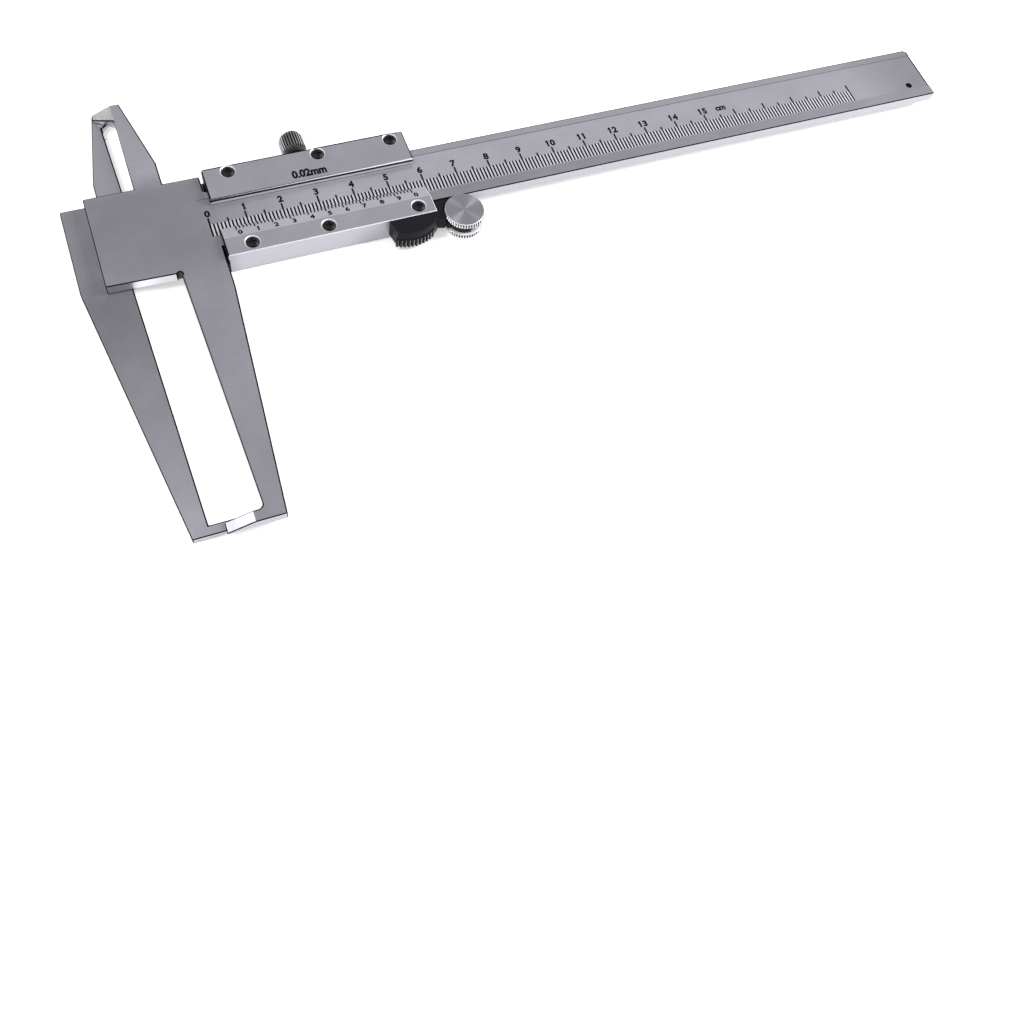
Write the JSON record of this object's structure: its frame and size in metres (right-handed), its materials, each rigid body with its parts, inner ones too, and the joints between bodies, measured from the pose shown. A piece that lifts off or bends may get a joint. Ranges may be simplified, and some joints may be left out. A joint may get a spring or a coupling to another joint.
{
  "type": "vernier caliper",
  "caption": "Vernier caliper with long crossing jaws for inside grooves, a screwed-on vernier plate and cover, a knurled lock screw and a thumb roller under the beam.",
  "frame": {"origin": "main scale zero line (X), the beam's lower edge (Y) and the slider's flat back face (Z), on which the caliper lies", "axes": "+X along the beam away from the jaws, +Y across the beam towards the short upper jaws, +Z out of the engraved front"},
  "size_m": [0.264, 0.1331, 0.0074],
  "materials": {
    "satin_steel": "satin stainless steel, finely brushed",
    "turned_steel": "bright turned stainless steel",
    "black_screws": "black oxide",
    "black_plastic": "moulded, slightly satin",
    "bronze": "bearing bronze",
    "engraving": "black filled lines and numbers"
  },
  "bodies": {
    "beam": {"main_beam": "satin_steel"},
    "slider": {"slider_frame": "satin_steel", "upper_cover": "satin_steel", "vernier_plate": "satin_steel", "cover_screws": "black_screws", "vernier_plate_screws": "black_screws", "gib_strip": "bronze", "gib_set_screws": "black_screws", "thumb_rest": "black_plastic", "thumb_rest_screws": "black_screws", "roller_bush": "bronze"},
    "lock_pad": {"lock_pad": "bronze"},
    "lock_screw": {"lock_screw": "turned_steel"},
    "roller": {"roller_top_disc": "turned_steel", "roller_bottom_disc": "turned_steel", "roller_axle": "turned_steel", "roller_washers": "bronze"}
  },
  "joints": [
    {"name": "slider_slide", "type": "slide", "parent": "beam", "child": "slider", "axis": [1, 0, 0], "range_m": [0, 0.144]},
    {"name": "thumb_roller_spin", "type": "hinge", "parent": "slider", "child": "roller", "pos_m": [0.0675, -0.0056, 0.003], "axis": [0, 0, 1], "range_deg": [0, 1475]},
    {"name": "lock_screw_travel", "type": "slide", "parent": "slider", "child": "lock_pad", "axis": [0, 1, 0], "range_m": [0, 0.00075]},
    {"name": "lock_screw_turn", "type": "hinge", "parent": "lock_pad", "child": "lock_screw", "pos_m": [0.0287, 0.0254, 0.00375], "axis": [0, 1, 0], "range_deg": [0, 540]}
  ],
  "couplings": [
    {"joint": "thumb_roller_spin", "follows": "slider_slide", "rad_per_m": 178.57},
    {"joint": "lock_screw_turn", "follows": "lock_screw_travel", "rad_per_m": 12566}
  ]
}
